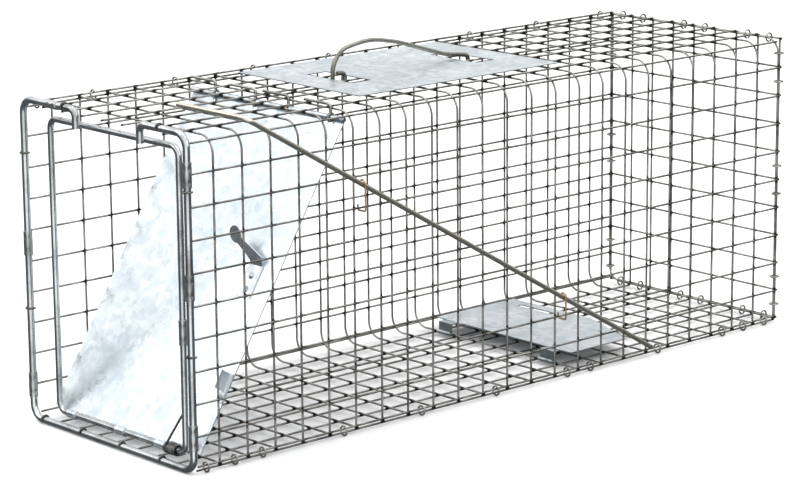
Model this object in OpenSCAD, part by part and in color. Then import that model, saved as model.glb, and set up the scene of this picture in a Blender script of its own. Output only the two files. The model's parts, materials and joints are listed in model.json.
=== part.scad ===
// Live catch trap: welded wire cage, sloping drop door, spring lock frame,
// treadle and sliding trigger rod. Millimetres, +Z up, door end towards -Y.

/* [Cage] */
// Mesh cells along the cage
cells_long = 24; // [20:1:30]
// Mesh cells across the cage
cells_wide = 8; // [8:1:10]
// Mesh cells up the cage
cells_high = 10; // [9:1:12]
// Spacing of the mesh along the cage
pitch_long = 33.9; // [28:0.1:41]
// Spacing of the mesh across the cage
pitch_wide = 31.2; // [28:0.1:38]
// Spacing of the mesh up the cage
pitch_high = 31; // [26:0.1:38]
// Diameter of the mesh wire
wire_d = 2.1; // [1.8:0.1:2.6]
// Radius of the two folded long edges, at the cross wires
fold_r = 17; // [12:0.5:20]
// Diameter of the ring wire
ring_wire_d = 1.8; // [1.4:0.1:2.2]
// Room between a lacing ring and the wires in it
ring_room = 0.45; // [0.45:0.05:1.2]

/* [Front frame] */
// Diameter of the front frame rod
frame_d = 7.2; // [6:0.1:9]
// Bend radius of the front frame, at the rod's centre
frame_bend_r = 14; // [10:0.5:18]
// Wall of the crimped sleeves
sleeve_wall = 0.9; // [0.6:0.1:1.2]
// Length of a crimped sleeve
sleeve_len = 24; // [16:1:30]
// Bend radius above the top stops
stop_bend_r = 8; // [6:0.5:9]
// Place of the stop on the far side of the top gap
far_stop_x = 42; // [36:1:60]
// Place of the stop on the trigger rod's side
near_stop_x = 58; // [36:1:66]
// How far the top stops reach down
stop_drop = 18; // [16:1:20]

/* [Door] */
// Width of the door sheet
door_w = 230; // [200:1:232]
// Thickness of the door sheet
door_t = 1; // [0.8:0.1:1.4]
// Distance of the hinge pin behind the front wires
hinge_back = 200; // [180:1:215]
// Distance of the hinge pin below the top cross wires
hinge_drop = 8; // [7:0.5:10]
// Diameter of the hinge pin
pin_d = 4; // [3:0.1:5]
// Diameter of the hanger wire
hanger_d = 3; // [2.4:0.1:3.4]
// Thickness of the two catches
catch_t = 1.2; // [1:0.1:1.6]

/* [Lock frame] */
// Diameter of the lock frame rod
lock_d = 6.4; // [5:0.1:7]
// Half width of the lock frame, at the rod's centre
lock_half_w = 99.8; // [92:0.1:102]
// Height of the lock frame, between rod centres
lock_h = 291.5; // [262:0.5:292]
// Lock frame rod behind the front wires
lock_back = 14; // [13:0.1:18]
// Lock frame pivot above the floor's cross wires
lock_low = 8; // [7.5:0.5:14]
// Bend radius of the lock frame
lock_bend_r = 10; // [8:0.5:12]
// Wire of the torsion spring
spring_d = 2.2; // [1.8:0.1:2.4]

/* [Trigger] */
// Diameter of the trigger rod
rod_d = 5; // [4:0.1:5.6]
// Wire of the brass rod guides
guide_d = 1.8; // [1.5:0.1:2.2]
// Clear space round the rod in its guides
guide_gap = 0.4; // [0.3:0.1:0.6]
// Thickness of the treadle plate
treadle_t = 1; // [0.8:0.1:1.4]
// Width of the treadle plate
treadle_w = 212; // [180:1:216]
// Length of the treadle plate
treadle_len = 116; // [90:1:125]
// Height of the treadle plate above the floor's cross wires
treadle_rise = 12; // [11:0.5:14]

/* [Handle] */
// Diameter of the handle wire
handle_d = 4.5; // [3.6:0.1:5]
// Height of the handle above the top cross wires
handle_rise = 38; // [34:1:50]
// Thickness of the handle guard
guard_t = 0.9; // [0.7:0.1:1.2]
// Width of the handle guard
guard_w = 186; // [150:1:190]
// Length of the handle guard
guard_len = 272; // [255:1:285]
// Way from the door's hinge to the guard
guard_gap = 51.1; // [40:0.1:70]

/* [Hidden] */
$fn = 48;

joint_swell = 0.1;
fit_gap = 0.08;
seat_gap = 0.05;
free_gap = 0.4;

wire_r = wire_d / 2;
frame_r = frame_d / 2;
lock_r = lock_d / 2;
pin_r = pin_d / 2;
rod_r = rod_d / 2;
ring_bore_r = 1.5 * wire_d + ring_room;
ring_r = ring_bore_r + ring_wire_d / 2;
ring_out_r = ring_bore_r + ring_wire_d;

cage_w = cells_wide * pitch_wide;
cage_h = cells_high * pitch_high;
cage_l = cells_long * pitch_long;
half_w = cage_w / 2;

// The frame rod stands in the place of the mesh's first cross wire, the long
// wires end just behind it, and its top run lies over the top's long wires
frame_in = 2;
frame_half_w = half_w + wire_d;
rod_x = half_w + 1.5 * wire_d + 0.5 + rod_r;
clip_d = 1.8;
clip_r = frame_r + seat_gap + clip_d / 2;
guide_r = rod_r + guide_gap + guide_d / 2;

// The object's box is centred on the origin, and it stands at z = 0
reach_right = rod_x + guide_r + guide_d / 2;
reach_left = -frame_half_w - clip_r - clip_d / 2;
reach_front = clip_r + clip_d / 2 - frame_in;
reach_rear = cage_l + wire_d + ring_out_r;
x_mid = (reach_right + reach_left) / 2;
y_front = -(reach_rear - reach_front) / 2;
z_floor = ring_out_r;
z_top = z_floor + cage_h;
z_over = z_top + wire_d + wire_r;

function at_x(i) = (i - cells_wide / 2) * pitch_wide;
function at_y(j) = y_front + j * pitch_long;
function at_z(k) = z_floor + k * pitch_high;
function unit(v) = v / norm(v);
function bend_cut(a, b, c, r) =
    let (t = acos(unit(b - a) * unit(c - b)))
    r * tan(t / 2);

module placed() {
    translate([-x_mid, 0, 0])
        children();
}

// Straight round bar from p to q
module bar(p, q, d) {
    v = q - p;
    translate(p)
        rotate([0, acos(v[2] / norm(v)), atan2(v[1], v[0])])
            cylinder(h = norm(v), d = d);
}

// Round elbow at b between the runs a-b and b-c
module elbow(a, b, c, r, d) {
    u = unit(b - a);
    v = unit(c - b);
    n = unit(cross(u, v));
    side = cross(n, u);
    mid = b - u * bend_cut(a, b, c, r) + side * r;
    s = -side;
    multmatrix([
        [s[0], u[0], n[0], mid[0]],
        [s[1], u[1], n[1], mid[1]],
        [s[2], u[2], n[2], mid[2]],
        [0, 0, 0, 1]
    ])
        rotate_extrude(angle = acos(u * v), $fn = 96)
            translate([r, 0])
                circle(d = d, $fn = 32);
}

// Bent bar through the points. Inner corner i is rounded to radii[i], or to
// radii itself where one number is given. A slanted joint gets a slight swell.
module bent_bar(pts, radii, d, swell = 0) {
    last = len(pts) - 1;
    function r_at(i) = is_list(radii) ? radii[i] : radii;
    function cut_at(i) = i == 0 || i == last ? 0 : bend_cut(pts[i - 1], pts[i], pts[i + 1], r_at(i));
    for (i = [0:last - 1]) {
        u = unit(pts[i + 1] - pts[i]);
        a = pts[i] + u * cut_at(i);
        b = pts[i + 1] - u * cut_at(i + 1);
        bar(a, b, d);
        if (swell > 0) {
            for (p = [if (i > 0) a, if (i < last - 1) b]) {
                translate(p)
                    sphere(d = d + swell);
            }
        }
    }
    for (i = [1:last - 1]) {
        elbow(pts[i - 1], pts[i], pts[i + 1], r_at(i), d);
    }
}

// Ring of wire round the local Z axis, open over the rest of its turn
module wire_ring(r, d, turn = 360, from = 0) {
    rotate([0, 0, from])
        rotate_extrude(angle = turn, $fn = 64)
            translate([r, 0])
                circle(d = d, $fn = 24);
}

// Flat sheet-metal curl round the local X axis, w wide
module curl(inner_r, t, w, turn, from) {
    rotate([0, 90, 0])
        rotate([0, 0, from])
            rotate_extrude(angle = turn, $fn = 96)
                translate([inner_r, -w / 2])
                    square([t, w]);
}

// Rivet head with a low dome, standing on z = 0
module rivet_head(r, h) {
    rotate_extrude($fn = 48)
        intersection() {
            translate([0, h - (r * r + h * h) / (2 * h)])
                circle(r = (r * r + h * h) / (2 * h), $fn = 96);
            square([r, h]);
        }
}

// ---- Cage ----

// Cross wires of the sheet that makes the top and the rod-side wall
module top_wall_cross_wires() {
    color("#8f8c84")
        placed()
            for (j = [1:cells_long]) {
                translate([0, at_y(j), 0])
                    bent_bar([
                        [-half_w - wire_d, 0, z_top],
                        [half_w, 0, z_top],
                        [half_w, 0, z_floor + wire_r]
                    ], fold_r, wire_d);
            }
}

// Long wires of the top and rod-side wall, lying outside the cross wires
module top_wall_long_wires() {
    slope = (fold_r + wire_d) * cos(45);
    color("#96938a")
        placed() {
            for (i = [0:cells_wide - 1]) {
                long_wire(at_x(i), z_top + wire_d, wire_start(at_x(i)));
            }
            long_wire(half_w - fold_r + slope, z_top - fold_r + slope);
            for (k = [1:cells_high - 1]) {
                long_wire(half_w + wire_d, at_z(k));
            }
            long_wire(half_w + wire_d, z_floor + wire_d);
        }
}

// A top wire runs on under the frame's top rod, or ends behind the frame
// where a bend or a stop comes down
function wire_start(x) =
    let (room = frame_r + wire_r + seat_gap)
    abs(x) < frame_half_w - frame_bend_r - wire_r
    && abs(x + far_stop_x) > room && abs(x - near_stop_x) > room
        ? frame_y - wire_r
        : wire_behind;

module long_wire(x, z, y = wire_behind) {
    bar([x, y, z], [x, at_y(cells_long) + wire_r, z], wire_d);
}

// Cross wires of the sheet that makes the other wall and the floor
module floor_wall_cross_wires() {
    color("#8f8c84")
        placed()
            for (j = [1:cells_long]) {
                translate([0, at_y(j), 0])
                    bent_bar([
                        [-half_w, 0, z_top - wire_r],
                        [-half_w, 0, z_floor],
                        [half_w + wire_d, 0, z_floor]
                    ], fold_r, wire_d);
            }
}

module floor_wall_long_wires() {
    slope = (fold_r + wire_d) * cos(45);
    color("#96938a")
        placed() {
            for (i = [1:cells_wide]) {
                long_wire(at_x(i), z_floor - wire_d);
            }
            long_wire(-half_w + fold_r - slope, z_floor + fold_r - slope);
            for (k = [1:cells_high - 1]) {
                long_wire(-half_w - wire_d, at_z(k));
            }
            long_wire(-half_w - wire_d, z_top - wire_d);
        }
}

module rear_upright_wires() {
    y = at_y(cells_long) + wire_d;
    color("#8f8c84")
        placed()
            for (i = [0:cells_wide]) {
                bar([at_x(i), y, z_floor - wire_r], [at_x(i), y, z_top + wire_r], wire_d);
            }
}

module rear_level_wires() {
    y = at_y(cells_long) + 2 * wire_d;
    color("#96938a")
        placed()
            for (k = [0:cells_high]) {
                bar([-half_w - wire_r, y, at_z(k)], [half_w + wire_r, y, at_z(k)], wire_d);
            }
}

// Rings that lace the two bent sheets together along the long edges
low_edge_cells = [0, 1, 2, 5, 8, 11, 14, 15, 18, 21, 22, 23];
high_edge_cells = [0, 2, 5, 8, 11, 14, 17, 20, 23];
rear_side_cells = [0, 1, 4, 5, 8, 9];
rear_level_cells = [0, 1, 3, 4, 6, 7];

module edge_rings() {
    color("#a9a79f")
        placed() {
            for (j = [for (c = low_edge_cells) if (c < cells_long) c + 0.5]) {
                translate([half_w + wire_r, at_y(j), z_floor])
                    rotate([90, 0, 0])
                        wire_ring(ring_r, ring_wire_d, 330, 200);
            }
            for (j = [for (c = high_edge_cells) if (c < cells_long) c + 0.5]) {
                translate([-half_w - wire_r, at_y(j), z_top])
                    rotate([90, 0, 0])
                        wire_ring(ring_r, ring_wire_d, 330, 20);
            }
        }
}

// Rings that lace the rear panel to the bent sheets
module rear_rings() {
    y_edge = at_y(cells_long) + wire_d;
    y_side = at_y(cells_long) + wire_r;
    color("#a9a79f")
        placed() {
            for (i = [for (c = rear_level_cells) if (c < cells_wide) c + 0.5]) {
                for (z = [z_floor, z_top]) {
                    translate([at_x(i), y_edge, z])
                        rotate([0, 90, 0])
                            wire_ring(ring_r, ring_wire_d, 330, 20);
                }
            }
            for (k = [for (c = rear_side_cells) if (c < cells_high) c + 0.5]) {
                for (x = [-half_w, half_w]) {
                    translate([x, y_side, at_z(k)])
                        wire_ring(ring_r, ring_wire_d, 330, 20);
                }
            }
        }
}

// ---- Front frame ----

frame_y = at_y(0) + frame_in;
frame_low = frame_r;
wire_behind = frame_y + frame_r + sleeve_wall + seat_gap;
frame_high = z_top + wire_d + wire_r + frame_r;

module front_frame() {
    color("#c9ccce")
        placed()
            bent_bar([
                [-far_stop_x, frame_y, frame_high - stop_drop],
                [-far_stop_x, frame_y, frame_high],
                [-frame_half_w, frame_y, frame_high],
                [-frame_half_w, frame_y, frame_low],
                [frame_half_w, frame_y, frame_low],
                [frame_half_w, frame_y, frame_high],
                [near_stop_x, frame_y, frame_high],
                [near_stop_x, frame_y, frame_high - stop_drop]
            ], [0, stop_bend_r, frame_bend_r, frame_bend_r, frame_bend_r, frame_bend_r, stop_bend_r],
               frame_d);
}

module tube(p, q, inner_d, wall) {
    difference() {
        bar(p, q, inner_d + 2 * wall);
        bar(p - unit(q - p), q + unit(q - p), inner_d);
    }
}

// Crimped sleeves on the posts and on the top rod
post_sleeves = [
    [1, 0.9],
    [1, 0.56],
    [1, 0.1],
    [-1, 0.56],
    [-1, 0.1]
];

module frame_sleeves() {
    x_top = -half_w + 1.5 * pitch_wide;
    color("#b4b6b4")
        placed() {
            for (s = post_sleeves) {
                z = z_floor + s[1] * cage_h;
                tube([s[0] * frame_half_w, frame_y, z - sleeve_len / 2],
                     [s[0] * frame_half_w, frame_y, z + sleeve_len / 2],
                     frame_d, sleeve_wall);
            }
            tube([x_top - 8, frame_y, frame_high], [x_top + 8, frame_y, frame_high],
                 frame_d, sleeve_wall);
        }
}

// Wire clips bent round the frame rod, where the mesh is tied to it
bottom_clip_cells = [1, 3, 5, 7];
side_clip_cells = [4, 9];

module frame_clips() {
    color("#6f7072")
        placed() {
            for (i = bottom_clip_cells) {
                translate([at_x(i) - pitch_wide / 2, frame_y, frame_low])
                    rotate([0, 90, 0])
                        wire_ring(clip_r, clip_d, 200, 70);
            }
            for (x = [-half_w + 2.1 * pitch_wide, half_w - 1.2 * pitch_wide]) {
                translate([x, frame_y, frame_high])
                    rotate([0, 90, 0])
                        wire_ring(clip_r, clip_d, 200, 90);
            }
            for (k = side_clip_cells) {
                for (s = [-1, 1]) {
                    translate([s * frame_half_w, frame_y, at_z(k) - pitch_high / 2])
                        rotate([0, 0, 90])
                            wire_ring(clip_r, clip_d, 270, 45);
                }
            }
        }
}

// ---- Door ----

// Door plane: w runs down the sheet from the hinge, n stands out of it
hinge_y = at_y(0) + hinge_back;
hinge_z = z_top - hinge_drop;
lock_y = at_y(0) + lock_back;
lock_z = z_floor + lock_low;
pin_n = pin_r + seat_gap;
lock_n = lock_r + fit_gap;
span = norm([hinge_y - lock_y, hinge_z - lock_z]);
door_len = sqrt(span * span - (lock_n - pin_n) * (lock_n - pin_n));
door_tilt = atan2(hinge_z - lock_z, hinge_y - lock_y) + asin((lock_n - pin_n) / span);

module on_door() {
    placed()
        translate([0, hinge_y, hinge_z])
            rotate([90 + door_tilt, 0, 0])
                translate([0, -pin_n, 0])
                    children();
}

// Hanger eyes sit at these places across the door
hanger_x = [for (i = [1.7, 3.7, 5.3, 7.3]) at_x(i) - pitch_wide * 0.2];
hanger_reach = 38;
knuckle_x = [-78, 0, 62];
knuckle_w = 14;
// The sheet's bottom edge stops short of the pivot, so that the frame can fold
edge_back = 4;
coil_x = 71;
coil_turns = 6.25;
coil_pitch = spring_d + 0.25;
coil_len = coil_turns * coil_pitch + spring_d;
coil_r = lock_r + 0.5 + spring_d / 2;

module door_sheet() {
    color("#dfe6ea")
        on_door() {
            difference() {
                union() {
                    translate([-door_w / 2, -door_t, 0])
                        cube([door_w, door_t, door_len - edge_back]);
                    for (x = knuckle_x) {
                        translate([x - knuckle_w / 2, -door_t, door_len - edge_back - 1])
                            cube([knuckle_w, door_t, edge_back + 1]);
                    }
                }
                for (x = hanger_x) {
                    translate([x - hanger_d, -door_t - 1, -1])
                        cube([2 * hanger_d, door_t + 2, pin_r + hanger_d + 3]);
                }
                translate([coil_x - 1.5, -door_t - 1, door_len - coil_r - spring_d])
                    cube([coil_len + 4, door_t + 2, coil_r + spring_d]);
            }
            for (x = knuckle_x) {
                translate([x, lock_n, door_len])
                    mirror([0, 0, 1])
                        curl(lock_n, door_t, knuckle_w, 250, 270);
            }
            for (i = [0:len(hanger_x)]) {
                x_a = i == 0 ? -door_w / 2 : hanger_x[i - 1] + hanger_d;
                x_b = i == len(hanger_x) ? door_w / 2 : hanger_x[i] - hanger_d;
                translate([(x_a + x_b) / 2, pin_n, 0])
                    curl(pin_n, door_t, x_b - x_a, 230, 270);
            }
        }
}

module hinge_pin() {
    color("#b9bab6")
        on_door()
            bar([-door_w / 2 - 2, pin_n, 0], [door_w / 2 + 2, pin_n, 0], pin_d);
}

// Wire hangers: one leg lies on the long wires, the other ends in the pin's eye
module door_hangers() {
    eye_r = pin_r + fit_gap + hanger_d / 2;
    z_leg = z_over + hanger_d / 2;
    color("#8d8a80")
        placed()
            for (x = hanger_x) {
                translate([x, hinge_y, hinge_z])
                    rotate([0, 90, 0])
                        wire_ring(eye_r, hanger_d);
                difference() {
                    translate([x, hinge_y, 0])
                        bent_bar([
                            [-hanger_reach, 0, z_leg],
                            [0, 0, z_leg],
                            [0, 0, hinge_z + eye_r]
                        ], hanger_d, hanger_d);
                    translate([x, hinge_y, hinge_z])
                        rotate([0, 90, 0])
                            cylinder(r = eye_r, h = 2 * hanger_d, center = true);
                }
            }
}

// Catches and their rivets, placed on the door's outer face
upper_leg = [82, 0.502, 20, 34];
lower_leg = [109.5, 0.2, 9, 30];
arm_lean = 35;

module upper_catch() {
    w_top = door_len * (1 - upper_leg[1]) - upper_leg[3] / 2;
    color("#ccd2d4")
        on_door() {
            translate([upper_leg[0] - upper_leg[2] / 2, 0, w_top])
                cube([upper_leg[2], catch_t, upper_leg[3]]);
            translate([upper_leg[0], 0.1, w_top + catch_t / 2])
                rotate([arm_lean - 90, 0, 0])
                    linear_extrude(catch_t)
                        union() {
                            polygon([[-9, 0], [9, 0], [9, 9], [-20, 24], [-33, 21], [-17, 11], [-9, 4]]);
                            translate([-29, 26])
                                circle(r = 8.5);
                        }
        }
}

// The lower catch stands beside the lock frame's post, clear of its fold
module lower_catch() {
    w_top = door_len * (1 - lower_leg[1]) - lower_leg[3] / 2;
    x_left = lower_leg[0] - lower_leg[2] / 2;
    color("#b9c3c8")
        on_door() {
            translate([x_left, 0, w_top])
                cube([lower_leg[2], catch_t, lower_leg[3]]);
            translate([x_left, 0, w_top])
                cube([catch_t, 9, lower_leg[3] * 0.6]);
        }
}

module catch_rivets() {
    color("#a3a7a8")
        on_door() {
            for (w = [-7, 7]) {
                translate([upper_leg[0], catch_t, door_len * (1 - upper_leg[1]) + 2 + w])
                    rotate([-90, 0, 0])
                        rivet_head(3.4, 1.6);
            }
            translate([lower_leg[0] + 0.6, catch_t, door_len * (1 - lower_leg[1]) + 10])
                rotate([-90, 0, 0])
                    rivet_head(3.4, 1.6);
        }
}

// ---- Lock frame, pivoting in the door's bottom knuckles ----

module lock_frame() {
    z_low = lock_z;
    z_high = lock_z + lock_h;
    z_joint = lock_z + 0.4 * lock_h;
    color("#cfd2d3")
        placed()
            translate([0, lock_y, 0])
                bent_bar([
                    [lock_half_w, 0, z_joint],
                    [lock_half_w, 0, z_high],
                    [-lock_half_w, 0, z_high],
                    [-lock_half_w, 0, z_low],
                    [lock_half_w, 0, z_low],
                    [lock_half_w, 0, z_joint]
                ], lock_bend_r, lock_d);
}

module lock_sleeve() {
    z = lock_z + 0.4 * lock_h;
    color("#a9abaa")
        placed()
            tube([lock_half_w, lock_y, z - sleeve_len / 2],
                 [lock_half_w, lock_y, z + sleeve_len / 2],
                 lock_d, sleeve_wall);
}

// Torsion spring: a coil round the pivot rod, one leg against the lock
// frame's post and the other running back under the door's edge
leg_up = 36;
leg_back = 8;
spring_r = spring_d / 2;

function coil_point(a) =
    [coil_x + spring_r + (a - 90) / 360 * coil_pitch, -coil_r * sin(a), coil_r * cos(a)];

module lock_spring() {
    steps = 18;
    last_step = round(coil_turns * steps);
    run = [for (i = [0:last_step]) coil_point(90 + i * 360 / steps)];
    tip = [lock_half_w - lock_r - spring_r - 0.3, 0, leg_up];
    path = concat([tip], run, [run[last_step] + [0, leg_back, 0]]);
    color("#7d7f80")
        placed()
            translate([0, lock_y, lock_z])
                swept(path, spring_d, 8);
}

// Round tube swept along points whose tangents stay off the X axis
module swept(path, d, sides) {
    last = len(path) - 1;
    function tangent(i) = unit(path[min(i + 1, last)] - path[max(i - 1, 0)]);
    rings = [
        for (i = [0:last])
            let (t = tangent(i))
            let (u = unit(cross(t, [1, 0, 0])))
            let (v = cross(t, u))
            for (s = [0:sides - 1])
                path[i] + (u * cos(360 * s / sides) + v * sin(360 * s / sides)) * d / 2
    ];
    quads = [
        for (i = [0:last - 1])
            for (s = [0:sides - 1])
                let (n = (s + 1) % sides)
                [i * sides + s, i * sides + n, (i + 1) * sides + n, (i + 1) * sides + s]
    ];
    first_cap = [for (s = [sides - 1:-1:0]) s];
    last_cap = [for (s = [0:sides - 1]) last * sides + s];
    polyhedron(points = rings, faces = concat(quads, [first_cap, last_cap]));
}

// ---- Trigger rod, its guides and the treadle ----

rod_top = [rod_x, at_y(2), z_top + 13];
rod_end = [rod_x, at_y(18.1), z_floor + 4.5];
rod_dir = unit(rod_end - rod_top);
rod_tip_x = 31;

function rod_at(z) = rod_top + rod_dir * (rod_top[2] - z) / (rod_top[2] - rod_end[2]) *
    norm(rod_end - rod_top);

module trigger_rod() {
    color("#938f80")
        placed()
            translate(rod_top)
                rotate([atan2(rod_dir[1], -rod_dir[2]), 0, 0])
                    bent_bar([
                        [rod_tip_x - rod_x, 0, 0],
                        [0, 0, 0],
                        [0, 0, -norm(rod_end - rod_top)]
                    ], 9, rod_d);
}

// Small wire hook near the rod's lower end that takes the treadle's tongue
hook_d = 2.6;

module rod_hook() {
    p = rod_at(z_floor + treadle_rise + 6);
    color("#938f80")
        placed() {
            bent_bar([
                [p[0] - rod_r, p[1], p[2]],
                [half_w - 20, p[1], p[2]],
                [half_w - 20, p[1], p[2] + 9],
                [half_w - 11, p[1], p[2] + 9]
            ], 4, hook_d);
        }
}

// Brass guide: a wire bent over the rod at height z_rod, with a leg down to
// a hook under long wire k
module rod_guide(z_rod, k) {
    p = rod_at(z_rod);
    lift = guide_r * 1.2;
    foot = at_z(k) - wire_r - guide_d / 2 - 0.6;
    x_in = half_w - guide_d / 2 - 0.3;
    color("#b08a4a")
        placed()
            translate([0, p[1], 0])
                bent_bar([
                    [x_in, 0, at_z(k) + 3.2],
                    [x_in, 0, foot],
                    [rod_x + guide_r, 0, foot],
                    [rod_x + guide_r, 0, z_rod + lift],
                    [rod_x - guide_r, 0, z_rod + lift],
                    [rod_x - guide_r, 0, z_rod - 2]
                ], [0, 2, 2, guide_r - 0.05, guide_r - 0.05], guide_d);
}

module front_rod_guide() {
    rod_guide(at_z(7) + 0.75 * pitch_high, 7);
}

module rear_rod_guide() {
    rod_guide(at_z(2) + 0.65 * pitch_high, 2);
}

// Treadle: plate, two hinge tabs round a floor cross wire, rivets
treadle_cell = 15;
treadle_z = z_floor + treadle_rise;
treadle_y = at_y(treadle_cell) + 9;
tab_x = [-2.5 * pitch_wide, 2.5 * pitch_wide];
tab_w = 20;
tab_t = 1.2;
tab_gap = 0.06;

module treadle_plate() {
    half = treadle_w / 2;
    color("#c3cccf")
        placed()
            difference() {
                translate([0, treadle_y, treadle_z - treadle_t])
                    linear_extrude(treadle_t)
                        polygon([
                            [-half, 0],
                            [half, 0],
                            [half, treadle_len * 0.72],
                            [half * 0.2, treadle_len],
                            [-half, treadle_len]
                        ]);
                translate([-half * 0.7, treadle_y + treadle_len * 0.84, treadle_z - 2])
                    cube([half * 0.5, 7, 4]);
                for (dx = [0, 9]) {
                    translate([half * 0.62 + dx, treadle_y + treadle_len * 0.72, treadle_z - 2])
                        cylinder(d = 4, h = 4);
                }
            }
}

module treadle_tabs() {
    inner = wire_r + tab_gap;
    rise = treadle_rise - treadle_t - tab_t;
    color("#8b9193")
        placed()
            for (x = tab_x) {
                translate([x, at_y(treadle_cell), z_floor])
                    mirror([0, 0, 1])
                        curl(inner, tab_t, tab_w, 250, 90);
                translate([x - tab_w / 2, at_y(treadle_cell) + inner, z_floor])
                    cube([tab_w, tab_t, rise + tab_t]);
                translate([x - tab_w / 2, at_y(treadle_cell) + inner, z_floor + rise])
                    cube([tab_w, 22, tab_t]);
            }
}

module treadle_rivets() {
    color("#a3a7a8")
        placed()
            for (x = tab_x) {
                for (dx = [-5, 5]) {
                    translate([x + dx, treadle_y + 8, treadle_z])
                        rivet_head(2.4, 1.1);
                }
            }
}

// ---- Carrying handle and its guard plate ----

eye_cells = [
    ceil((hinge_back + guard_gap + 40) / pitch_long),
    floor((hinge_back + guard_gap + guard_len - 40) / pitch_long)
];
handle_x = -0.4 * pitch_wide;
eye_half = 8;
slot_w = 26;
slot_len = 70;
guard_x = handle_x;
guard_y = hinge_y + guard_gap + guard_len / 2;

module handle_guard() {
    color("#d3dade")
        placed()
            difference() {
                translate([guard_x - guard_w / 2, guard_y - guard_len / 2, z_over])
                    cube([guard_w, guard_len, guard_t]);
                for (j = eye_cells) {
                    translate([handle_x - slot_len / 2, at_y(j) - slot_w / 2, z_over - 1])
                        cube([slot_len, slot_w, guard_t + 2]);
                }
            }
}

module carry_handle() {
    y_a = at_y(eye_cells[0]);
    y_b = at_y(eye_cells[1]);
    z_low = z_top - eye_half;
    z_eye = z_top + eye_half;
    z_high = z_top + handle_rise;
    color("#85847e")
        placed()
            translate([handle_x, 0, 0])
                bent_bar([
                    [0, y_a - 2, z_eye],
                    [0, y_a + eye_half, z_eye],
                    [0, y_a + eye_half, z_low],
                    [0, y_a - eye_half, z_low],
                    [0, y_a - eye_half, z_high - 8],
                    [0, y_a + 42, z_high],
                    [0, y_a + 80, z_high - 7.5],
                    [0, y_b - 26, z_top + 10.5],
                    [0, y_b + eye_half, z_top + 5.5],
                    [0, y_b + eye_half, z_low],
                    [0, y_b - eye_half, z_low],
                    [0, y_b - eye_half, z_top + 1.5]
                ], [0, 5, 5, 5, 26, 90, 150, 90, 5, 5, 5], handle_d, joint_swell);
}

top_wall_cross_wires();
top_wall_long_wires();
floor_wall_cross_wires();
floor_wall_long_wires();
rear_upright_wires();
rear_level_wires();
edge_rings();
rear_rings();
frame_clips();
front_frame();
frame_sleeves();
door_hangers();
hinge_pin();
door_sheet();
upper_catch();
lower_catch();
catch_rivets();
lock_frame();
lock_sleeve();
lock_spring();
trigger_rod();
rod_hook();
front_rod_guide();
rear_rod_guide();
treadle_plate();
treadle_tabs();
treadle_rivets();
handle_guard();
carry_handle();
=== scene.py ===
"""Studio scene of a live catch trap: finishes, worked wire details, light and camera."""

import json
import logging
import math
import random
from dataclasses import dataclass, field
from enum import Enum
from typing import Sequence

import bpy
from mathutils import Matrix, Vector


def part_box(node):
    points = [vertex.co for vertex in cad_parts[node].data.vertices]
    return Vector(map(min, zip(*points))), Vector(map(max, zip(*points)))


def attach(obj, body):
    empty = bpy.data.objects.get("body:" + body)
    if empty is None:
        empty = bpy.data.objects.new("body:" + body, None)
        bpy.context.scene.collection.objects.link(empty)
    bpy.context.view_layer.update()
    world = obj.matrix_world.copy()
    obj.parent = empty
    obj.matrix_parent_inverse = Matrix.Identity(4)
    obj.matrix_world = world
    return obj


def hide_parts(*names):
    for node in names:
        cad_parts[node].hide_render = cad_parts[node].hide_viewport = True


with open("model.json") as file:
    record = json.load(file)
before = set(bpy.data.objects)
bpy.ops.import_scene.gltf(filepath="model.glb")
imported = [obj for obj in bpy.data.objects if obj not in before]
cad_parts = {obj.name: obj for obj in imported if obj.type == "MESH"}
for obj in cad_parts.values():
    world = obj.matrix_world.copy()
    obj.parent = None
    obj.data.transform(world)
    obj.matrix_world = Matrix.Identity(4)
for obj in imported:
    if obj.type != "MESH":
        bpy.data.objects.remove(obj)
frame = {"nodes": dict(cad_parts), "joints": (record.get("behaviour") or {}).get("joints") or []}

log = logging.getLogger("trap")
MM = 0.001
Point = tuple[float, float, float]


# ---- Small tools ----


def linear(hex_colour: str) -> tuple[float, float, float, float]:
    """Turn an sRGB hex colour into linear light.

    Args:
        hex_colour: six hex digits after a hash, such as "#c9ccce".

    Returns:
        Linear red, green, blue and an alpha of one.
    """
    parts = [int(hex_colour[i:i + 2], 16) / 255 for i in (1, 3, 5)]
    light = [p / 12.92 if p <= 0.04045 else ((p + 0.055) / 1.055) ** 2.4 for p in parts]
    return (light[0], light[1], light[2], 1.0)


def per_mm(size_mm: float) -> float:
    """Texture scale that gives one feature per size_mm, for coordinates in metres."""
    return 1 / (size_mm * MM)


def deselect() -> None:
    """Leave edit mode and clear the selection, so that an operator acts on the new piece only."""
    if bpy.context.object is not None and bpy.context.object.mode != "OBJECT":
        bpy.ops.object.mode_set(mode="OBJECT")
    bpy.ops.object.select_all(action="DESELECT")


def active(name: str) -> bpy.types.Object:
    """Name the piece that an operator has just added, and return it."""
    piece = bpy.context.object
    piece.name = name
    piece.data.name = name
    return piece


def settle(piece: bpy.types.Object) -> None:
    """Move a piece's place, turn and scale into its mesh."""
    deselect()
    piece.select_set(True)
    bpy.context.view_layer.objects.active = piece
    bpy.ops.object.transform_apply(location=True, rotation=True, scale=True)


def smooth(piece: bpy.types.Object, angle: float = 40) -> None:
    """Shade a piece smooth, with edges over the angle in degrees kept sharp."""
    deselect()
    piece.select_set(True)
    bpy.context.view_layer.objects.active = piece
    bpy.ops.object.shade_smooth_by_angle(angle=math.radians(angle))


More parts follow.
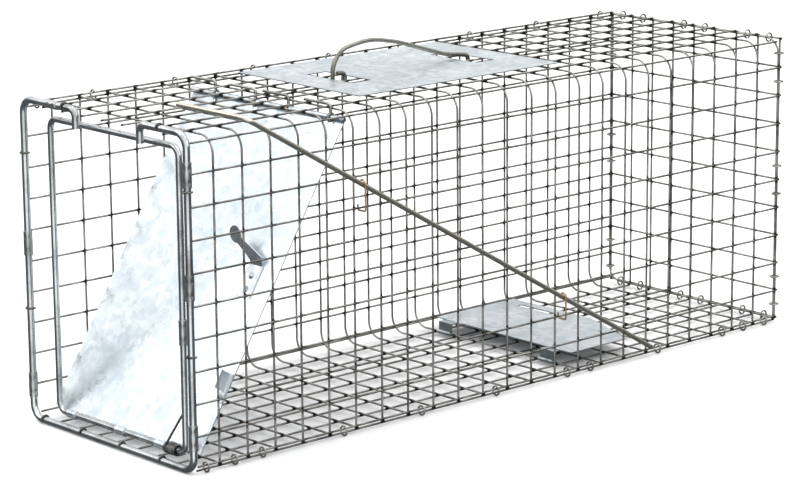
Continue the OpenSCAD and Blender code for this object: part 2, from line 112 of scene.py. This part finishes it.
def repeat(piece: bpy.types.Object, places: Sequence[Matrix]) -> None:
    """Replace a piece's mesh by one copy of it at each place.

    Args:
        piece: the object whose mesh is modelled once at the origin.
        places: where each copy goes, with its turn and scale.
    """
    corners = [v.co.copy() for v in piece.data.vertices]
    faces = [tuple(p.vertices) for p in piece.data.polygons]
    points: list[Vector] = []
    rings: list[tuple[int, ...]] = []
    for place in places:
        start = len(points)
        points.extend(place @ co for co in corners)
        rings.extend(tuple(start + i for i in f) for f in faces)
    mesh = bpy.data.meshes.new(piece.name)
    mesh.from_pydata(points, [], rings)
    mesh.update()
    piece.data = mesh


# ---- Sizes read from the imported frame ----


@dataclass
class Lattice:
    """The mesh lattice of the cage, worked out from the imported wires.

    Attributes:
        cells_long, cells_wide, cells_high: cells each way.
    """

    cells_long: int = 24
    cells_wide: int = 8
    cells_high: int = 10
    low: Vector = field(init=False)
    high: Vector = field(init=False)
    wire_r: float = field(init=False)

    def __post_init__(self) -> None:
        """Read the crossings and the wire from the rear and bent wires, which start one cell in."""
        lo, hi = (Vector(c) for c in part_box("rear_upright_wires"))
        y_lo, y_hi = (Vector(c).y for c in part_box("top_wall_cross_wires"))
        self.wire_r = (hi.y - lo.y) / 2
        self.high = Vector((hi.x - self.wire_r, y_hi - self.wire_r, hi.z - self.wire_r))
        first = y_lo + self.wire_r
        front = self.high.y - (self.high.y - first) * self.cells_long / (self.cells_long - 1)
        self.low = Vector((lo.x + self.wire_r, front, lo.z + self.wire_r))

    @property
    def pitch(self) -> Vector:
        """Cell size across, along and up."""
        span = self.high - self.low
        return Vector((span.x / self.cells_wide, span.y / self.cells_long, span.z / self.cells_high))

    def at(self, i: float, j: float, k: float) -> Vector:
        """Place of the crossing i cells across, j along and k up."""
        p = self.pitch
        return self.low + Vector((i * p.x, j * p.y, k * p.z))


# ---- Finishes ----


def add(tree: bpy.types.NodeTree, kind: str, settings: dict | None = None,
        **links: object) -> bpy.types.Node:
    """Add a shader node with its settings and links.

    Args:
        tree: the node tree.
        kind: the node's type name, without "ShaderNode".
        settings: attributes of the node.
        **links: input name, with underscores for spaces, or "i" and an index, to a value or a socket.

    Returns:
        The new node.
    """
    node = tree.nodes.new("ShaderNode" + kind)
    for key, value in (settings or {}).items():
        setattr(node, key, value)
    for key, value in links.items():
        is_index = key[0] == "i" and key[1:].isdigit()
        socket = node.inputs[int(key[1:]) if is_index else key.replace("_", " ")]
        if isinstance(value, bpy.types.NodeSocket):
            tree.links.new(value, socket)
        else:
            socket.default_value = value
    return node


def blank(name: str) -> tuple[bpy.types.Material, bpy.types.NodeTree, bpy.types.NodeSocket]:
    """Start an empty material.

    Args:
        name: the material's name.

    Returns:
        The material, its node tree and the Object coordinates.
    """
    material = bpy.data.materials.new(name)
    material.use_nodes = True
    tree = material.node_tree
    tree.nodes.clear()
    return material, tree, add(tree, "TexCoord").outputs["Object"]


def close(tree: bpy.types.NodeTree, shader: bpy.types.Node) -> None:
    """Link a shader to a new material output."""
    add(tree, "OutputMaterial", Surface=shader.outputs[0])


def blend_colour(tree: bpy.types.NodeTree, factor: object, a: object, b: object) -> object:
    """Mix two colours and return the result's socket."""
    return add(tree, "Mix", {"data_type": "RGBA"}, i0=factor, i6=a, i7=b).outputs[2]


@dataclass(frozen=True)
class GalvanisedWire:
    """Drawn steel wire, hot-dip galvanised after welding: dull grey, darkened around the crossings as
    painted shade.

    Attributes:
        name: material name.
        light, dark: sRGB colours of clean zinc and of its dull patches.
        crossing_shade_tint: colour of the painted shade where two wires cross.
        roughness: middle roughness.
        patch_mm: size of the dull patches.
        crossing_shade_mm: reach of the painted shade from a crossing.
    """

    name: str
    light: str = "#aaa8a2"
    dark: str = "#716f69"
    crossing_shade_tint: str = "#2b2825"
    roughness: float = 0.36
    patch_mm: float = 26
    crossing_shade_mm: float = 4.6

    def make(self, lattice: Lattice | None = None) -> bpy.types.Material:
        """Build the material.

        Args:
            lattice: the crossings that carry painted shade, or None for plain wire.

        Returns:
            The material.
        """
        material, tree, where = blank(self.name)
        # zinc runs and dries unevenly, so the wire is patched light and dull along its length
        patches = add(tree, "TexNoise", Vector=where, Scale=per_mm(self.patch_mm), Detail=4.0, Roughness=0.6)
        spread = add(tree, "MapRange", i0=patches.outputs[0], i1=0.36, i2=0.64)
        colour = blend_colour(tree, spread.outputs[0], linear(self.dark), linear(self.light))
        if lattice is not None:
            # painted shade: the wire is darkened around every crossing of the lattice
            colour = blend_colour(tree, self._scale(tree, where, lattice), colour, linear(self.crossing_shade_tint))
        # grains of zinc dust, drawn coarser than the real tenth of a millimetre so that they show
        grain = add(tree, "TexNoise", Vector=where, Scale=per_mm(0.9), Detail=2.0)
        bump = add(tree, "Bump", Strength=0.25, Distance=0.05 * MM, Height=grain.outputs[0])
        rough = add(tree, "MapRange", i0=patches.outputs[0],
                    i3=self.roughness + 0.1, i4=self.roughness - 0.08)
        close(tree, add(tree, "BsdfPrincipled", Base_Color=colour, Metallic=1.0,
                        Roughness=rough.outputs[0], Normal=bump.outputs[0]))
        return material

    def _scale(self, tree: bpy.types.NodeTree, where: object, lattice: Lattice) -> object:
        """Painted shade mask: one at the crossings of the lattice, where the wires shade each other, fading
        out over crossing_shade_mm.
        """
        split = add(tree, "SeparateXYZ", Vector=where)
        mask: object = 1.0
        for axis in range(3):
            pitch = lattice.pitch[axis]
            cell = add(tree, "Math", {"operation": "MULTIPLY_ADD"}, i0=split.outputs[axis],
                       i1=1 / pitch, i2=0.5 - lattice.low[axis] / pitch)
            part = add(tree, "Math", {"operation": "FRACT"}, i0=cell.outputs[0])
            off = add(tree, "Math", {"operation": "SUBTRACT"}, i0=part.outputs[0], i1=0.5)
            far = add(tree, "Math", {"operation": "ABSOLUTE"}, i0=off.outputs[0])
            near = add(tree, "MapRange", {"interpolation_type": "SMOOTHSTEP"}, i0=far.outputs[0],
                       i1=self.crossing_shade_mm * MM / pitch, i2=0.45 * self.crossing_shade_mm * MM / pitch)
            mask = add(tree, "Math", {"operation": "MULTIPLY"}, i0=mask, i1=near.outputs[0]).outputs[0]
        uneven = add(tree, "TexNoise", Vector=where, Scale=per_mm(7), Detail=3.0)
        amount = add(tree, "MapRange", i0=uneven.outputs[0], i1=0.3, i2=0.6, i3=0.55, i4=1.0)
        return add(tree, "Math", {"operation": "MULTIPLY"}, i0=mask, i1=amount.outputs[0]).outputs[0]


@dataclass(frozen=True)
class PlatedRod:
    """Cold-drawn rod, zinc plated and clear passivated: bright, with faint draw lines and dull rub marks.

    Attributes:
        name: material name.
        bright, dull: sRGB colours of fresh plate and of rubbed plate.
        roughness: middle roughness.
        lines_mm: spacing of the draw lines, coarser than the real ones so that they show.
    """

    name: str
    bright: str = "#d0d3d4"
    dull: str = "#949696"
    roughness: float = 0.18
    lines_mm: float = 1.4

    def make(self) -> bpy.types.Material:
        """Build and return the material."""
        material, tree, where = blank(self.name)
        rub = add(tree, "TexNoise", Vector=where, Scale=per_mm(38), Detail=5.0, Roughness=0.62)
        rub_mask = add(tree, "MapRange", i0=rub.outputs[0], i1=0.42, i2=0.68)
        specks = add(tree, "TexVoronoi", Vector=where, Scale=per_mm(5))
        speck_mask = add(tree, "MapRange", i0=specks.outputs["Distance"], i1=0.12, i2=0.05, i3=0.0, i4=0.35)
        colour = blend_colour(tree, rub_mask.outputs[0], linear(self.bright), linear(self.dull))
        colour = blend_colour(tree, speck_mask.outputs[0], colour, linear("#6d6c68"))
        lines = add(tree, "TexNoise", Vector=where, Scale=per_mm(self.lines_mm), Detail=2.0)
        bump = add(tree, "Bump", Strength=0.15, Distance=0.04 * MM, Height=lines.outputs[0])
        rough = add(tree, "MapRange", i0=rub.outputs[0], i1=0.3, i2=0.7,
                    i3=self.roughness - 0.05, i4=self.roughness + 0.16)
        close(tree, add(tree, "BsdfPrincipled", Base_Color=colour, Metallic=1.0,
                        Roughness=rough.outputs[0], Normal=bump.outputs[0]))
        return material


@dataclass(frozen=True)
class SpangledSheet:
    """Galvanised sheet steel: zinc crystals a few millimetres wide, cloudy patches and long light scuffs.

    Attributes:
        name: material name.
        light, dark: sRGB colours of the brightest and the dullest crystals.
        stain: colour of the cloudy patches.
        roughness: middle roughness.
        spangle_mm: width of a zinc crystal.
        scuff: how far the scuffs darken the sheet, from 0 to 1.
    """

    name: str
    light: str = "#e6ecf0"
    dark: str = "#ccd6dc"
    stain: str = "#b6c3cb"
    roughness: float = 0.3
    spangle_mm: float = 7
    scuff: float = 0.3

    def make(self) -> bpy.types.Material:
        """Build and return the material."""
        material, tree, where = blank(self.name)
        wander = add(tree, "TexNoise", Vector=where, Scale=per_mm(14), Detail=3.0)
        bent = add(tree, "VectorMath", {"operation": "MULTIPLY_ADD"}, i0=wander.outputs["Color"],
                   i1=(0.005, 0.005, 0.005), i2=where)
        crystals = add(tree, "TexVoronoi", Vector=bent.outputs[0], Scale=per_mm(self.spangle_mm))
        tone = add(tree, "SeparateColor", Color=crystals.outputs["Color"])
        colour = blend_colour(tree, tone.outputs[0], linear(self.light), linear(self.dark))
        clouds = add(tree, "TexNoise", Vector=where, Scale=per_mm(85), Detail=6.0, Roughness=0.58)
        cloud_mask = add(tree, "MapRange", i0=clouds.outputs[0], i1=0.46, i2=0.74, i4=0.8)
        colour = blend_colour(tree, cloud_mask.outputs[0], colour, linear(self.stain))
        # scuffs run across the sheet, tens of millimetres long and under one wide
        stretch = add(tree, "Mapping", Vector=where, Scale=(0.09, 1.0, 1.0), Rotation=(0.2, 0.1, 0.35))
        scuffs = add(tree, "TexNoise", Vector=stretch.outputs[0], Scale=per_mm(2.4), Detail=3.0,
                     Roughness=0.7)
        scuff_mask = add(tree, "MapRange", i0=scuffs.outputs[0], i1=0.6, i2=0.74, i4=self.scuff)
        colour = blend_colour(tree, scuff_mask.outputs[0], colour, linear("#8e999f"))
        rough = add(tree, "MapRange", i0=tone.outputs[1], i3=self.roughness - 0.06, i4=self.roughness + 0.12)
        ripple = add(tree, "TexNoise", Vector=where, Scale=per_mm(45), Detail=2.0)
        bump = add(tree, "Bump", Strength=0.35, Distance=0.5 * MM, Height=ripple.outputs[0])
        close(tree, add(tree, "BsdfPrincipled", Base_Color=colour, Metallic=1.0,
                        Roughness=rough.outputs[0], Normal=bump.outputs[0]))
        return material


@dataclass(frozen=True)
class DullMetal:
    """Unpolished wire or stamping of one metal, stained by handling: brass guides, oiled spring, raw rivets.

    Attributes:
        name: material name.
        clean, stained: sRGB colours.
        roughness: middle roughness.
        stain_mm: size of the stains.
    """

    name: str
    clean: str
    stained: str
    roughness: float = 0.38
    stain_mm: float = 9

    def make(self) -> bpy.types.Material:
        """Build and return the material."""
        material, tree, where = blank(self.name)
        stains = add(tree, "TexNoise", Vector=where, Scale=per_mm(self.stain_mm), Detail=5.0, Roughness=0.65)
        mask = add(tree, "MapRange", i0=stains.outputs[0], i1=0.4, i2=0.66)
        colour = blend_colour(tree, mask.outputs[0], linear(self.clean), linear(self.stained))
        pits = add(tree, "TexNoise", Vector=where, Scale=per_mm(0.8), Detail=2.0)
        bump = add(tree, "Bump", Strength=0.2, Distance=0.05 * MM, Height=pits.outputs[0])
        rough = add(tree, "MapRange", i0=stains.outputs[0], i1=0.3, i2=0.7,
                    i3=self.roughness - 0.06, i4=self.roughness + 0.14)
        close(tree, add(tree, "BsdfPrincipled", Base_Color=colour, Metallic=1.0,
                        Roughness=rough.outputs[0], Normal=bump.outputs[0]))
        return material


@dataclass(frozen=True)
class StudioFloor:
    """Matt white painted board under the trap."""

    name: str = "matt_white_board"
    colour: str = "#fbfbfb"

    def make(self) -> bpy.types.Material:
        """Build and return the material."""
        material, tree, where = blank(self.name)
        tooth = add(tree, "TexNoise", Vector=where, Scale=per_mm(120), Detail=2.0)
        colour = blend_colour(tree, tooth.outputs[0], linear(self.colour), linear("#f6f7f7"))
        close(tree, add(tree, "BsdfPrincipled", Base_Color=colour, Roughness=0.9))
        return material


class Coat(Enum):
    """The finishes of the trap, by what they are on."""

    MESH = "mesh"
    WELD = "weld"
    LACING = "lacing"
    BRIGHT = "bright"
    SLEEVE = "sleeve"
    DOOR = "door"
    PLATE = "plate"
    FIXING = "fixing"
    TAB = "tab"
    SPRING = "spring"
    TRIGGER = "trigger"
    BRASS = "brass"
    HANDLE = "handle"
    CLIP = "clip"


NODE_COATS: dict[str, Coat] = {
    "top_wall_cross_wires": Coat.MESH,
    "top_wall_long_wires": Coat.MESH,
    "floor_wall_cross_wires": Coat.MESH,
    "floor_wall_long_wires": Coat.MESH,
    "rear_upright_wires": Coat.MESH,
    "rear_level_wires": Coat.MESH,
    "edge_rings": Coat.LACING,
    "rear_rings": Coat.LACING,
    "frame_clips": Coat.CLIP,
    "front_frame": Coat.BRIGHT,
    "frame_sleeves": Coat.SLEEVE,
    "door_hangers": Coat.LACING,
    "hinge_pin": Coat.BRIGHT,
    "door_sheet": Coat.DOOR,
    "upper_catch": Coat.PLATE,
    "lower_catch": Coat.PLATE,
    "catch_rivets": Coat.FIXING,
    "lock_frame": Coat.BRIGHT,
    "lock_sleeve": Coat.SLEEVE,
    "lock_spring": Coat.SPRING,
    "trigger_rod": Coat.TRIGGER,
    "rod_hook": Coat.TRIGGER,
    "front_rod_guide": Coat.BRASS,
    "rear_rod_guide": Coat.BRASS,
    "treadle_plate": Coat.PLATE,
    "treadle_tabs": Coat.TAB,
    "treadle_rivets": Coat.FIXING,
    "handle_guard": Coat.PLATE,
    "carry_handle": Coat.HANDLE,
}


class PaintShop:
    """Makes each finish once and puts it on nodes and pieces."""

    def __init__(self, lattice: Lattice) -> None:
        """Make all finishes; the mesh finish takes its painted shade at the crossings from the lattice."""
        self.coats: dict[Coat, bpy.types.Material] = {
            Coat.MESH: GalvanisedWire("galvanised_mesh_wire").make(lattice),
            # painted shade: the weld beads get a near black finish so that every crossing reads dark
            Coat.WELD: DullMetal("weld_nugget_painted_shade", "#4a4641", "#26231f", 0.5, 6).make(),
            Coat.LACING: GalvanisedWire("galvanised_lacing_wire", light="#b0aea6", dark="#83807a").make(),
            Coat.CLIP: DullMetal("blackened_clip_wire", "#7b7974", "#3a3936", 0.4, 8).make(),
            Coat.BRIGHT: PlatedRod("zinc_plated_rod").make(),
            Coat.SLEEVE: PlatedRod("crimped_zinc_sleeve", bright="#c2c4c3", dull="#8f9090",
                                   roughness=0.3).make(),
            Coat.DOOR: SpangledSheet("spangled_door_sheet").make(),
            Coat.PLATE: SpangledSheet("spangled_plate", light="#d8dcde", dark="#bcc4c8", stain="#a3aeb4",
                                      roughness=0.36, scuff=0.45).make(),
            Coat.FIXING: DullMetal("zinc_rivet", "#b4b8b9", "#7c8082", 0.34, 5).make(),
            Coat.TAB: DullMetal("dull_tab_steel", "#bcc3c6", "#8f9699", 0.42, 12).make(),
            Coat.SPRING: DullMetal("oiled_spring_wire", "#7f8080", "#3c3d3e", 0.33, 7).make(),
            Coat.TRIGGER: DullMetal("dull_trigger_rod", "#dcd7c9", "#b9b4a6", 0.3, 34).make(),
            Coat.BRASS: DullMetal("brass_wire", "#cfae7c", "#a08055", 0.36, 6).make(),
            Coat.HANDLE: DullMetal("dull_handle_wire", "#97968f", "#6c6a63", 0.34, 28).make(),
        }

    def dress(self, piece: bpy.types.Object, coat: Coat) -> None:
        """Give a piece one finish all over."""
        piece.data.materials.clear()
        piece.data.materials.append(self.coats[coat])

    def dress_nodes(self) -> None:
        """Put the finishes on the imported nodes, through their object's material slots."""
        for name, coat in NODE_COATS.items():
            for held in frame["nodes"][name].material_slots:
                held.link = "OBJECT"
                held.material = self.coats[coat]
            log.info("node %s: %s", name, coat.value)


# ---- Worked pieces ----


@dataclass
class WeldNuggets:
    """Flattened beads of metal squeezed out where two mesh wires were welded, in a near black finish that
    paints shade at each crossing.

    Attributes:
        lattice: the crossings.
        reach: half width of a bead, in metres.
        height: half thickness of a bead, in metres.
    """

    lattice: Lattice
    reach: float = 1.75 * MM
    height: float = 1.3 * MM
    seed: int = 7

    def build(self, shop: PaintShop) -> None:
        """Make the beads of the two bent sheets and of the rear panel."""
        lat = self.lattice
        r, wide, high, long = lat.wire_r, lat.cells_wide, lat.cells_high, lat.cells_long
        rows = range(1, long + 1)
        top = [lat.at(i, j, high) + Vector((0, 0, r)) for i in range(wide) for j in rows]
        near = [lat.at(wide, j, k) + Vector((r, 0, 0)) for k in range(1, high) for j in rows]
        floor = [lat.at(i, j, 0) - Vector((0, 0, r)) for i in range(1, wide + 1) for j in rows]
        far = [lat.at(0, j, k) - Vector((r, 0, 0)) for k in range(1, high) for j in rows]
        rear = [lat.at(i, long, k) + Vector((0, 3 * r, 0)) for i in range(wide + 1) for k in range(high + 1)]
        flat = Matrix()
        side = Matrix.Rotation(math.pi / 2, 4, "Y")
        back = Matrix.Rotation(math.pi / 2, 4, "X")
        self._sheet("weld_nuggets_top_wall", [(p, flat) for p in top] + [(p, side) for p in near], shop)
        self._sheet("weld_nuggets_floor_wall", [(p, flat) for p in floor] + [(p, side) for p in far], shop)
        self._sheet("weld_nuggets_rear", [(p, back) for p in rear], shop)

    def _sheet(self, name: str, spots: list[tuple[Vector, Matrix]], shop: PaintShop) -> None:
        """Make one sheet's beads as one piece.

        Args:
            name: the piece's name.
            spots: each bead's place, and the turn that lays it on its wall.
            shop: the finishes.
        """
        deselect()
        bpy.ops.mesh.primitive_uv_sphere_add(segments=8, ring_count=5, radius=self.reach)
        bead = active(name)
        bpy.ops.object.mode_set(mode="EDIT")
        bpy.ops.mesh.select_all(action="SELECT")
        bpy.ops.transform.resize(value=(1, 1, self.height / self.reach))
        bpy.ops.object.mode_set(mode="OBJECT")
        dice = random.Random(self.seed)
        places = []
        for place, turn in spots:
            grow = Matrix.Diagonal((dice.uniform(0.85, 1.1), dice.uniform(0.85, 1.1), 1, 1))
            places.append(Matrix.Translation(place) @ turn @ grow)
        repeat(bead, places)
        smooth(bead, 80)
        shop.dress(bead, Coat.WELD)
        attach(bead, "cage")
        log.info("%s: %d beads", name, len(places))


@dataclass
class CrimpedSleeves:
    """Sheet sleeves pressed round the rods with two crimps each.

    Attributes:
        lattice: the crossings, which the sleeves' heights are taken from.
        near_heights, far_heights: places of the sleeves on the two posts, as shares of the cage's height.
        top_cell: place of the top rod's sleeve, in cells across.
        length, top_length: length of a sleeve along its rod, on the posts and on the top rod.
        wall: depth that the turned-in ends reach.
        wall_share: thickness of the sheet, as a share of the wall.
        crimp_place: distance of a crimp from the middle, as a share of the length.
        flare_from: where the ends begin to turn in, as a share of the half length.
        crimp_depth: how far a crimp is pressed in.
        crimp_width: width of a crimp.
        sides: flats round a sleeve.
        rings: rings along a sleeve.
    """

    lattice: Lattice
    near_heights: tuple[float, ...] = (0.9, 0.56, 0.1)
    far_heights: tuple[float, ...] = (0.56, 0.1)
    top_cell: float = 1.5
    length: float = 24 * MM
    top_length: float = 16 * MM
    wall: float = 0.9 * MM
    wall_share: float = 0.8
    crimp_place: float = 0.27
    flare_from: float = 0.9
    crimp_depth: float = 0.7 * MM
    crimp_width: float = 2.2 * MM
    sides: int = 32
    rings: int = 28

    def build(self, shop: PaintShop) -> None:
        """Make the front frame's sleeves and the lock frame's sleeve."""
        rod_lo, rod_hi = (Vector(c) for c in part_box("front_frame"))
        lat = self.lattice
        rod_r = (rod_hi.y - rod_lo.y) / 2
        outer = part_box("frame_sleeves")[1][0] - rod_hi.x + rod_r
        y = rod_lo.y + rod_r
        height = lat.high.z - lat.low.z
        near = [(rod_hi.x - rod_r, share) for share in self.near_heights]
        far = [(rod_lo.x + rod_r, share) for share in self.far_heights]
        for count, (x, share) in enumerate(near + far):
            z = lat.low.z + share * height
            piece = self._sleeve(f"post_sleeve_{count + 1}", outer, self.length)
            self._place(piece, Matrix.Translation((x, y, z)), "cage", shop)
            if count == 0:
                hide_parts("frame_sleeves")
        top = self._sleeve("top_sleeve", outer, self.top_length)
        across = Matrix.Rotation(math.pi / 2, 4, "Y")
        spot = Matrix.Translation((lat.at(self.top_cell, 0, 0).x, y, rod_hi.z - rod_r))
        self._place(top, spot @ across, "cage", shop)
        s_lo, s_hi = (Vector(c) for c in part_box("lock_sleeve"))
        lock = self._sleeve("lock_frame_sleeve", (s_hi.x - s_lo.x) / 2, s_hi.z - s_lo.z)
        self._place(lock, Matrix.Translation((s_lo + s_hi) / 2), "lock", shop)
        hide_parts("lock_sleeve")

    def _sleeve(self, name: str, outer: float, length: float) -> bpy.types.Object:
        """Model one sleeve about the Z axis.

        Args:
            name: the piece's name.
            outer: outer radius.
            length: length along Z.

        Returns:
            The sleeve, open at both ends, with its wall.
        """
        deselect()
        bpy.ops.mesh.primitive_circle_add(vertices=self.sides, radius=outer, location=(0, 0, 0))
        piece = active(name)
        bpy.ops.object.mode_set(mode="EDIT")
        bpy.ops.mesh.select_all(action="SELECT")
        bpy.ops.transform.translate(value=(0, 0, -length / 2))
        for _ in range(self.rings):
            bpy.ops.mesh.extrude_region_move(TRANSFORM_OT_translate={"value": (0, 0, length / self.rings)})
        bpy.ops.mesh.select_all(action="SELECT")
        bpy.ops.mesh.normals_make_consistent(inside=False)
        bpy.ops.object.mode_set(mode="OBJECT")
        for v in piece.data.vertices:
            turn = math.atan2(v.co.y, v.co.x)
            press = sum(math.exp(-((v.co.z - s * length * self.crimp_place) / self.crimp_width) ** 2)
                        for s in (-1, 1))
            flare = max(0.0, abs(v.co.z) / (length / 2) - self.flare_from)
            shrink = self.crimp_depth * press * math.cos(2 * turn) ** 2 + flare * self.wall
            v.co.x *= 1 - shrink / outer
            v.co.y *= 1 - shrink / outer
        wall = piece.modifiers.new("wall", "SOLIDIFY")
        wall.thickness = self.wall * self.wall_share
        wall.offset = -1
        bpy.ops.object.modifier_apply(modifier="wall")
        return piece

    def _place(self, piece: bpy.types.Object, place: Matrix, body: str, shop: PaintShop) -> None:
        """Put a sleeve in its place, dress it and let it ride on its body."""
        piece.data.transform(place)
        smooth(piece, 50)
        shop.dress(piece, Coat.SLEEVE)
        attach(piece, body)
        log.info("%s rides on %s", piece.name, body)


@dataclass
class LockSpring:
    """Torsion spring round the lock frame's pivot rod, one leg up the post and one under the door.

    Attributes:
        wire: wire diameter.
        turns: turns of the coil.
        gap: gap between turns.
        start: start of the coil, from the middle of the trap.
        rod_r: radius of the lock frame's rod.
        post: half width of the lock frame at the rod's centre.
        leg_up, leg_back: reach of the two legs.
        coil_room, leg_room: gaps between rod and coil, and between post and upper leg.
        points_per_turn, leg_steps, back_steps: points along the coil and the legs.
    """

    wire: float = 2.2 * MM
    turns: float = 6.25
    gap: float = 0.25 * MM
    start: float = 71 * MM
    rod_r: float = 3.2 * MM
    post: float = 99.8 * MM
    leg_up: float = 36 * MM
    leg_back: float = 8 * MM
    coil_room: float = 0.5 * MM
    leg_room: float = 0.3 * MM
    points_per_turn: int = 28
    leg_steps: int = 6
    back_steps: int = 4

    def _route(self, pivot: Vector) -> list[Vector]:
        """Centre line of the wire, from the tip of the upper leg to the tip of the back leg."""
        coil_r = self.rod_r + self.coil_room + self.wire / 2
        pitch = self.wire + self.gap
        steps = round(self.turns * self.points_per_turn)
        coil = []
        for i in range(steps + 1):
            turn = 2 * math.pi * i / self.points_per_turn + math.pi / 2
            along = self.start + self.wire / 2 + pitch * i / self.points_per_turn
            coil.append(Vector((along, -coil_r * math.sin(turn), coil_r * math.cos(turn))))
        tip = Vector((self.post - self.rod_r - self.wire / 2 - self.leg_room, 0, self.leg_up))
        leg = [tip.lerp(coil[0], t / self.leg_steps) for t in range(self.leg_steps)]
        back = [coil[-1] + Vector((0, self.leg_back * t / self.back_steps, 0))
                for t in range(1, self.back_steps + 1)]
        return [pivot + p for p in leg + coil + back]

    def build(self, shop: PaintShop) -> None:
        """Wind the spring as a round wire and close its ends."""
        joint = next(j for j in frame["joints"] if j["name"] == "lock_fold")
        curve = bpy.data.curves.new("torsion_spring", "CURVE")
        curve.dimensions = "3D"
        curve.bevel_depth = self.wire / 2
        curve.bevel_resolution = 4
        curve.use_fill_caps = True
        route = self._route(Vector(joint["pos_m"]))
        spline = curve.splines.new("POLY")
        spline.points.add(len(route) - 1)
        for point, place in zip(spline.points, route):
            point.co = (*place, 1)
        piece = bpy.data.objects.new("torsion_spring", curve)
        bpy.context.collection.objects.link(piece)
        deselect()
        piece.select_set(True)
        bpy.context.view_layer.objects.active = piece
        bpy.ops.object.convert(target="MESH")
        piece = active("torsion_spring")
        smooth(piece, 60)
        shop.dress(piece, Coat.SPRING)
        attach(piece, "lock")
        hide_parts("lock_spring")
        log.info("torsion_spring: %.2f turns", self.turns)


# ---- Studio ----


@dataclass
class Studio:
    """White floor, soft lights and the camera.

    Attributes:
        floor_half: half the floor's side.
        lattice: the crossings, which the camera is placed from.
        camera_off: where the camera stands, in metres from the middle of the floor's front edge.
        azimuth, elevation, roll: where it looks, in degrees.
        lens: focal length on a 36 mm sensor.
        floor_drop: how far the floor lies under the trap.
        aim: the point that every softbox faces.
        softboxes: name, place, side in metres and power in watts of each softbox.
    """

    lattice: Lattice
    floor_half: float = 9.0
    camera_off: Point = (2.23695, -1.63752, 0.83554)
    azimuth: float = 48.07
    elevation: float = 13.25
    roll: float = -0.48
    lens: float = 136.14
    floor_drop: float = 0.2 * MM
    aim: Point = (0, 0, 0.15)
    softboxes: tuple[tuple[str, Point, float, float], ...] = (
        ("key_softbox", (-1.6, -2.4, 2.6), 2.4, 34),
        ("top_softbox", (0.4, 0.3, 3.2), 3.0, 30),
        ("side_softbox", (3.0, 0.6, 1.6), 1.6, 16),
    )

    def build(self) -> None:
        """Lay the floor, hang the lights and set the camera."""
        self._floor()
        self._sky()
        for softbox in self.softboxes:
            self._softbox(*softbox)
        self._camera()

    def _floor(self) -> None:
        """A wide white board that the trap stands on."""
        deselect()
        bpy.ops.mesh.primitive_grid_add(x_subdivisions=4, y_subdivisions=4, size=2 * self.floor_half,
                                        location=(0, 0, -self.floor_drop))
        floor = active("studio_floor")
        settle(floor)
        floor.data.materials.append(StudioFloor().make())
        floor.visible_glossy = False

    def _sky(self) -> None:
        """Bright sky over dark side screens, so that round wire gets a bright middle and dark edges."""
        world = bpy.data.worlds.new("studio_white")
        world.use_nodes = True
        tree = world.node_tree
        tree.nodes.clear()
        where = add(tree, "TexCoord").outputs["Generated"]
        up = add(tree, "SeparateXYZ", Vector=where).outputs[2]
        soft = {"interpolation_type": "SMOOTHSTEP"}
        rise = add(tree, "MapRange", soft, i0=up, i1=0.1, i2=0.5, i3=0.0, i4=1.0)
        az = math.radians(self.azimuth)
        facing = add(tree, "VectorMath", {"operation": "DOT_PRODUCT"}, i0=where,
                     i1=(math.sin(az), -math.cos(az), 0)).outputs["Value"]
        front = add(tree, "MapRange", soft, i0=facing, i1=0.72, i2=0.9, i3=0.0, i4=1.0)
        behind = add(tree, "MapRange", soft, i0=facing, i1=-0.6, i2=-0.9, i3=0.0, i4=0.7)
        screens = blend_colour(tree, front.outputs[0], linear("#565a5d"), linear("#ffffff"))
        screens = blend_colour(tree, behind.outputs[0], screens, linear("#e6e9ea"))
        colour = blend_colour(tree, rise.outputs[0], screens, linear("#ffffff"))
        back = add(tree, "Background", Color=colour, Strength=1.35)
        add(tree, "OutputWorld", Surface=back.outputs[0])
        bpy.context.scene.world = world

    def _softbox(self, name: str, place: Point, size: float, power: float) -> None:
        """Hang a square softbox that faces the trap.

        Args:
            name: the light's name.
            place: where it hangs.
            size: its side, in metres.
            power: its power, in watts.
        """
        light = bpy.data.lights.new(name, "AREA")
        light.size = size
        light.energy = power
        lamp = bpy.data.objects.new(name, light)
        lamp.location = place
        lamp.rotation_euler = (Vector(self.aim) - Vector(place)).to_track_quat("-Z", "Y").to_euler()
        bpy.context.scene.collection.objects.link(lamp)

    def _camera(self) -> None:
        """Set the camera at its place, turn and lens."""
        az, el, roll = (math.radians(a) for a in (self.azimuth, self.elevation, self.roll))
        ahead = Vector((-math.sin(az) * math.cos(el), math.cos(az) * math.cos(el), -math.sin(el)))
        level = Vector((math.cos(az), math.sin(az), 0))
        up = level.cross(ahead)
        right = level * math.cos(roll) + up * math.sin(roll)
        up = right.cross(ahead)
        data = bpy.data.cameras.new("camera")
        data.lens = self.lens
        data.sensor_width = 36
        data.clip_end = 40
        camera = bpy.data.objects.new("camera", data)
        turn = Matrix((right, up, -ahead)).transposed().to_4x4()
        lat = self.lattice
        spot = lat.at(lat.cells_wide / 2, 0, 0) + Vector(self.camera_off)
        camera.matrix_world = Matrix.Translation(spot) @ turn
        bpy.context.scene.collection.objects.link(camera)
        bpy.context.scene.camera = camera


def main() -> None:
    """Build the scene in order."""
    logging.basicConfig(level=logging.INFO, format="%(message)s")
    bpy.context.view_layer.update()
    scene = bpy.context.scene
    scene.view_settings.view_transform = "Standard"
    lattice = Lattice()
    Studio(lattice).build()
    shop = PaintShop(lattice)
    shop.dress_nodes()
    WeldNuggets(lattice).build(shop)
    CrimpedSleeves(lattice).build(shop)
    LockSpring().build(shop)


if __name__ == "__main__":
    main()
